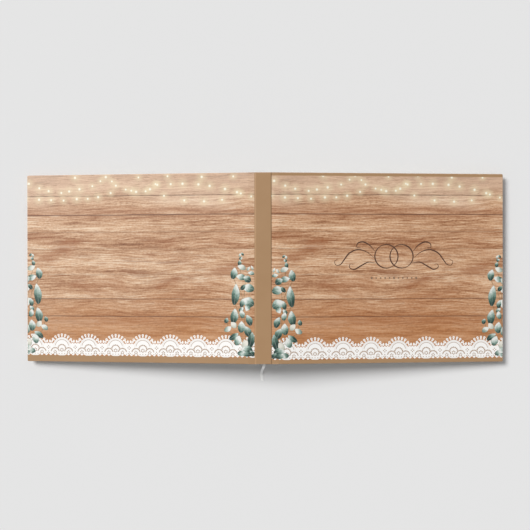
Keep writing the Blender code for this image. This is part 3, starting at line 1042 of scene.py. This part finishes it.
def end_band(name):
    """Woven roll over one end of the sewn back, swollen at each turn of its thread."""
    low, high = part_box(name)
    centre, radius = (low + high) / 2, (high.z - low.z) / 2
    bm = bmesh.new()
    depth = high.x - low.x
    bmesh.ops.create_cone(bm, cap_ends=True, segments=14, radius1=radius, radius2=radius, depth=depth)
    long_edges = [e for e in bm.edges if length_along(e, 2) > radius]
    bmesh.ops.subdivide_edges(bm, edges=long_edges, cuts=79)
    for vert in bm.verts:
        at_end = abs(vert.co.z) > depth / 2 - TINY
        swell = 0.75 if at_end else 0.90 + 0.08 * abs(math.sin(math.pi * vert.co.z / THREAD_TURN))
        vert.co.x *= swell
        vert.co.y *= swell
    bmesh.ops.rotate(bm, matrix=Matrix.Rotation(math.radians(90), 3, "Y"), verts=bm.verts)
    bmesh.ops.translate(bm, vec=centre, verts=bm.verts)
    bmesh.ops.recalc_face_normals(bm, faces=bm.faces)
    thing = finish(f"{name}_weave", bm, band_cotton, "spine")
    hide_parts(name)


end_band("head_band")
end_band("tail_band")

# ---------------------------------------------------------------- printed sprigs
# A sprig: distance from the print's inner edge, height over its bottom, length, width, heading in degrees
# from straight up, towards the inner edge, and tone from 0, dark, to 1, pale. Millimetres.
SPRIG = (
    (16.0, 112.5, 4.2, 2.6, 20, 0.85),
    (13.2, 113.4, 4.4, 2.6, -40, 0.35),
    (15.0, 109.0, 4.2, 3.4, 60, 0.55),
    (16.4, 104.0, 6.2, 4.4, 10, 0.35),
    (14.0, 98.8, 9.6, 6.0, -70, 0.86),
    (22.8, 92.4, 13.0, 8.0, 12, 0.52),
    (6.6, 97.5, 5.6, 3.0, 35, 0.84),
    (2.6, 98.4, 5.4, 2.8, -20, 0.86),
    (3.6, 92.4, 7.0, 4.4, -80, 0.78),
    (14.6, 88.0, 11.0, 7.0, -76, 0.66),
    (8.0, 85.8, 9.4, 7.6, -55, 0.40),
    (6.6, 75.8, 13.0, 9.6, -80, 0.72),
    (12.6, 77.2, 7.6, 5.0, 40, 0.16),
    (21.2, 69.2, 23.5, 9.2, 6, 0.48),
    (7.0, 60.6, 14.0, 11.0, -62, 0.70),
    (13.8, 59.8, 9.6, 5.6, 12, 0.44),
    (7.2, 54.6, 8.0, 6.4, -150, 0.74),
    (14.6, 53.0, 6.6, 4.4, 50, 0.62),
    (13.8, 47.6, 9.2, 6.0, -15, 0.72),
    (22.6, 45.4, 17.0, 9.0, 8, 0.44),
    (31.2, 40.6, 6.4, 5.0, 18, 0.30),
    (6.2, 41.0, 12.6, 7.4, -20, 0.40),
    (23.2, 35.6, 8.2, 6.4, -40, 0.90),
    (29.4, 31.4, 9.2, 6.0, 58, 0.84),
    (14.6, 33.6, 12.8, 8.6, 4, 0.62),
    (7.8, 28.6, 12.4, 8.2, -22, 0.36),
    (22.8, 23.2, 12.4, 6.4, 55, 0.34),
    (18.6, 18.8, 11.6, 8.0, 20, 0.80),
    (4.2, 19.0, 18.5, 8.2, 12, 0.14),
    (10.6, 15.0, 10.0, 7.0, 35, 0.92),
    (8.0, 8.4, 12.4, 9.0, -75, 0.44),
    (14.2, 5.0, 9.4, 6.4, 82, 0.70),
    (2.8, 4.4, 7.2, 5.4, -35, 0.08),
    (8.6, 3.4, 12.0, 5.4, -88, 0.34),
)
STEMS = (
    ((14.5, 111), (15.6, 100), (14.6, 92), (10.5, 84), (11, 70), (12.2, 58), (11.2, 44), (10, 30), (9, 10)),
    ((22.6, 86), (20.0, 80), (15.0, 72), (12.2, 60)),
    ((21.0, 58), (17.8, 50), (13.6, 42)),
    ((22.4, 37), (17.0, 33), (12.0, 26)),
    ((30.0, 38), (27.0, 28), (18.0, 24), (11.0, 18)),
    ((4.2, 95), (8.0, 90), (10.5, 84)),
)
PRINT_RAISE = 0.025 * MM
LEAF_STEP = 0.0022 * MM  # how much each leaf of a sprig lies over the one before
STROKE_STEP = 0.002 * MM
STEM_RAISE = 0.012 * MM
STEM_WIDTH = 0.42 * MM
INK_THICK = 0.01 * MM


def add_leaf(bm, layers, at, length, width, heading, tone, out):
    """One printed leaf, pointed at its tip and round at its stalk, just proud of the paper."""
    uv, shade = layers
    made = bmesh.ops.create_circle(bm, cap_ends=True, segments=20, radius=1)["verts"]
    face = made[0].link_faces[0]
    if face.normal.z < 0:
        bmesh.ops.reverse_faces(bm, faces=[face])
    for loop in face.loops:
        loop[uv].uv = ((loop.vert.co.x + 1) / 2, (loop.vert.co.y + 1) / 2)
    for vert in made:
        along, across = vert.co.x, vert.co.y
        narrow = 1 - 0.55 * max(along, 0) ** 1.5 - 0.12 * max(-along, 0)
        vert.co.x = along * length / 2
        vert.co.y = across * width / 2 * narrow + 0.06 * width * (1 - along * along)
        vert[shade] = tone
    turn = Matrix.Translation((at[0], at[1], out)) @ Matrix.Rotation(math.radians(heading), 4, "Z")
    bmesh.ops.transform(bm, matrix=turn, verts=made)


def clip(bm, left, right):
    """Cuts off what would hang over the sides of a strip."""
    cut(bm, (left, 0, 0), (-1, 0, 0), clear_outer=True)
    cut(bm, (right, 0, 0), (1, 0, 0), clear_outer=True)


def drape(bm, profile):
    """Lays a flat print over a profile of (along, out) points."""
    for x, _ in profile[1:-1]:
        cut(bm, (x, 0, 0), (1, 0, 0))
    for vert in bm.verts:
        for (start, low), (end, high) in zip(profile, profile[1:]):
            if start - TINY <= vert.co.x <= end + TINY:
                vert.co.z += low + (high - low) * (vert.co.x - start) / (end - start)
                break


def flip_up(bm):
    """Turns every face of a flat print upwards."""
    bm.normal_update()
    bmesh.ops.reverse_faces(bm, faces=[f for f in bm.faces if f.normal.z < 0])


def add_stroke(bm, route, widths, out):
    """Flat pen stroke: an edge across the route, drawn along it."""
    edge, was = None, None
    for n, point in enumerate(route):
        before, after = route[max(n - 1, 0)], route[min(n + 1, len(route) - 1)]
        way = (after - before).normalized()
        across = Vector((-way.y, way.x, 0)) * widths[min(n, len(widths) - 1)] / 2
        ends = [(point + across).xy.to_3d(), (point - across).xy.to_3d()]
        for end in ends:
            end.z = out
        if edge is None:
            edge = bm.edges.new([bm.verts.new(end) for end in ends])
        else:
            drawn = bmesh.ops.extrude_edge_only(bm, edges=[edge])["geom"]
            verts = {v for v in drawn if isinstance(v, bmesh.types.BMVert)}
            edge = next(e for e in drawn if isinstance(e, bmesh.types.BMEdge) and set(e.verts) == verts)
            for vert in verts:
                near_first = (vert.co - was[0]).length < (vert.co - was[1]).length
                vert.co = ends[0] if near_first else ends[1]
        was = ends


FACE_START = JOINT_WIDTH + COVER_START
FACE_END = JOINT_WIDTH + COVER_LENGTH - 0.64 * MM  # where the paper's face starts to turn down


def leaf_layer(edge, mirror, bottom):
    """All the leaves of a sprig, flat, in a side's own coordinates from its first hinge."""
    bm = bmesh.new()
    uv = bm.loops.layers.uv.new("UVMap")
    shade = bm.verts.layers.float.new("leaf_tone")
    for n, (inward, up, length, width, heading, tone) in enumerate(SPRIG):
        at = (edge + mirror * inward * MM, bottom + up * MM)
        out = PRINT_RAISE + LEAF_STEP * n
        add_leaf(bm, (uv, shade), at, length * MM, width * MM, 90 + mirror * heading, tone, out)
    return bm


def stem_layer(edge, mirror, bottom):
    """The stems of a sprig, in the same coordinates, just under the leaves."""
    bm = bmesh.new()
    for n, stem in enumerate(STEMS):
        points = [(edge + mirror * x * MM, bottom + y * MM, 0) for x, y in stem]
        add_stroke(bm, smooth_route(points, 1.5 * MM), [STEM_WIDTH], STEM_RAISE + STROKE_STEP * n)
    return bm


def sprig_print(name, label, mirror, edge, start):
    """A sprig printed on one side. Where it crosses the joint, it is cut in two and laid over the skins' bent
    profiles.
    """
    side = SIDES[name]
    bottom = PRINTS[name]["bottom"]
    at_spine, at_cover = joint_bends(name, side)
    level = [(FACE_START, COVER_OUT), (FACE_END, COVER_OUT)]
    strips = [("cover", FACE_START, FACE_END, level, None)]
    if start < FACE_START:
        middle = JOINT_WIDTH / 2
        strips.append(("joint_at_cover", middle, FACE_START, SKIN_AT_COVER, at_cover))
        strips.append(("joint_at_spine", start, middle, SKIN_AT_SPINE, at_spine))
    layers = (("leaves", leaf_layer, leaf_ink), ("stems", stem_layer, stem_ink))
    for strip, low, high, profile, bend in strips:
        for layer, draw, material in layers:
            bm = draw(edge, mirror, bottom)
            clip(bm, low, high)
            drape(bm, profile)
            placed(bm, side_axes(side, hinges[f"{name}_joint"]))
            flip_up(bm)
            if not bm.faces:
                bm.free()
                continue
            body = None if bend else f"{name}_cover"
            piece = f"{name}_{label}_sprig_{layer}_on_{strip}"
            thing = finish(piece, bm, material, body, smooth=False)
            thicken(thing, INK_THICK, even=False)
            if bend:
                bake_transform(thing)


for side_name in SIDES:
    first = 0.1 * MM if side_name == "front" else 0.95 * MM  # from the joint's hinge to the sprig's edge
    sprig_print(side_name, "spine_side", 1, first, first)
    sprig_print(side_name, "fore_edge", -1, FACE_END + 10 * MM, FACE_START)

# ---------------------------------------------------------------- ornament in place of a title
ORNAMENT = Vector((0.1360, 0.0130, 0))  # the middle of the rings
RING_RADIUS = 13 * MM
RING_OFFSET = 8.5 * MM
FINE, BOLD = 0.65 * MM, 1.45 * MM  # the pen's strokes
ORNAMENT_RAISE = 0.03 * MM
SWASHES = (
    ((22.5, -1.5), (30, 4.5), (40, 7.5), (50, 3.5), (56, -4), (60, -9), (65, -9.5), (66.5, -5.5), (63, -3)),
    ((20.5, -7.5), (29, -6.5), (38, -11.0), (45, -14.5), (50, -12.0), (49, -8.5), (45.5, -9.0)),
    ((21.5, 5.5), (27, 12.0), (35, 16.0), (41, 14.0), (41.5, 10.0), (37.5, 9.5)),
)


def print_axes(name):
    """Places the artwork's coordinates (right, up, out) on a cover, level with its face."""
    side = SIDES[name]
    turn = Matrix(((COS, 0, side * SIN), (0, 1, 0), (-side * SIN, 0, COS))).to_4x4()
    onto = hinges[f"{name}_cover"] + Vector((side * SIN, 0, COS)) * COVER_OUT
    reach = (PRINTS[name]["left"] - onto.x) / COS
    return Matrix.Translation(onto + Vector((COS, 0, -side * SIN)) * reach) @ turn


def linked_rings(bm):
    """Two rings, one over the other, drawn with a broad pen held aslant."""
    pen_slant = math.radians(30)
    angles = [math.radians(6 * n) for n in range(61)]
    widths = [FINE + (BOLD - FINE) * abs(math.sin(a + pen_slant)) for a in angles]
    for n, across in enumerate((-RING_OFFSET, RING_OFFSET)):
        centre = ORNAMENT + Vector((across, 0, 0))
        ring = [centre + RING_RADIUS * Vector((math.sin(a), math.cos(a), 0)) for a in angles]
        add_stroke(bm, ring, widths, ORNAMENT_RAISE + n * 2 * STROKE_STEP)


def flourishes(bm):
    """Mirrored swashes to both sides of the rings, each thin at its ends."""
    thin = FINE * 0.6
    for n, swash in enumerate(SWASHES, 2):
        for mirror in (1, -1):
            points = [ORNAMENT + Vector((mirror * x * MM, y * MM, 0)) for x, y in swash]
            route = smooth_route(points, 1.1 * MM)
            shares = [k / (len(route) - 1) for k in range(len(route))]
            widths = [thin + (BOLD - thin) * math.sin(math.pi * share) ** 1.5 for share in shares]
            add_stroke(bm, route, widths, ORNAMENT_RAISE + n * 2 * STROKE_STEP)


def lozenge_row(bm):
    """Small round dots under the rings, with a larger lozenge at every fifth place."""
    for n in range(-5, 6):
        corners, size = (8, 0.95 * MM) if n % 5 else (4, 1.5 * MM)
        dot = bmesh.ops.create_circle(bm, cap_ends=True, segments=corners, radius=size)["verts"]
        bmesh.ops.translate(bm, vec=ORNAMENT + Vector((n * 5 * MM, -24 * MM, ORNAMENT_RAISE)), verts=dot)


def front_print(piece, ink_used, *drawings):
    """One flat print on the front cover, from the functions that draw it."""
    bm = bmesh.new()
    for draw in drawings:
        draw(bm)
    placed(bm, print_axes("front"))
    flip_up(bm)
    thing = finish(piece, bm, ink_used, "front_cover", smooth=False)
    thicken(thing, INK_THICK, even=False)


front_print("front_ornament", script_ink, linked_rings, flourishes)
front_print("front_ornament_dots", soft_ink, lozenge_row)

# ---------------------------------------------------------------- materials of the CAD pieces that stay
FINISHES = {
    "spine_board": board_grey,
    "front_board": board_grey,
    "back_board": board_grey,
    "spine_lining": kraft,
    "mull": gauze,
    "sewing_thread": linen,
    "sewn_back": page_paper,
    "front_pastedown": page_paper,
    "back_pastedown": page_paper,
}
for node_name, material in FINISHES.items():
    thing = nodes[node_name]
    thing.data.materials.clear()
    thing.data.materials.append(material)

# ---------------------------------------------------------------- floor, light and camera
table = bmesh.new()
bmesh.ops.create_grid(table, x_segments=1, y_segments=1, size=6)
floor = mesh_object("table_top", table, table_grey)

key_data = bpy.data.lights.new("soft_key", "SUN")
key_data.energy = 2.84
key_data.angle = math.radians(26)
key = linked("soft_key", key_data)
key.rotation_euler = Vector((-0.64, 0.49, 0.80)).to_track_quat("Z", "Y").to_euler()

world = bpy.data.worlds.new("studio")
bpy.context.scene.world = world
world.use_nodes = True
sky = world.node_tree.nodes["Background"].inputs
sky["Color"].default_value = (1, 1, 1, 1)
sky["Strength"].default_value = 0.34

camera_data = bpy.data.cameras.new("camera")
camera_data.angle = math.radians(36.3)
camera_data.clip_start = 0.01
camera = linked("camera", camera_data)
camera.location = (0.0178, 0.0065, 0.9184)
camera.rotation_euler = (math.radians(-0.19), math.radians(1.04), math.radians(-0.07))
bpy.context.scene.camera = camera
bpy.context.scene.view_settings.view_transform = "Standard"

bpy.context.view_layer.update()
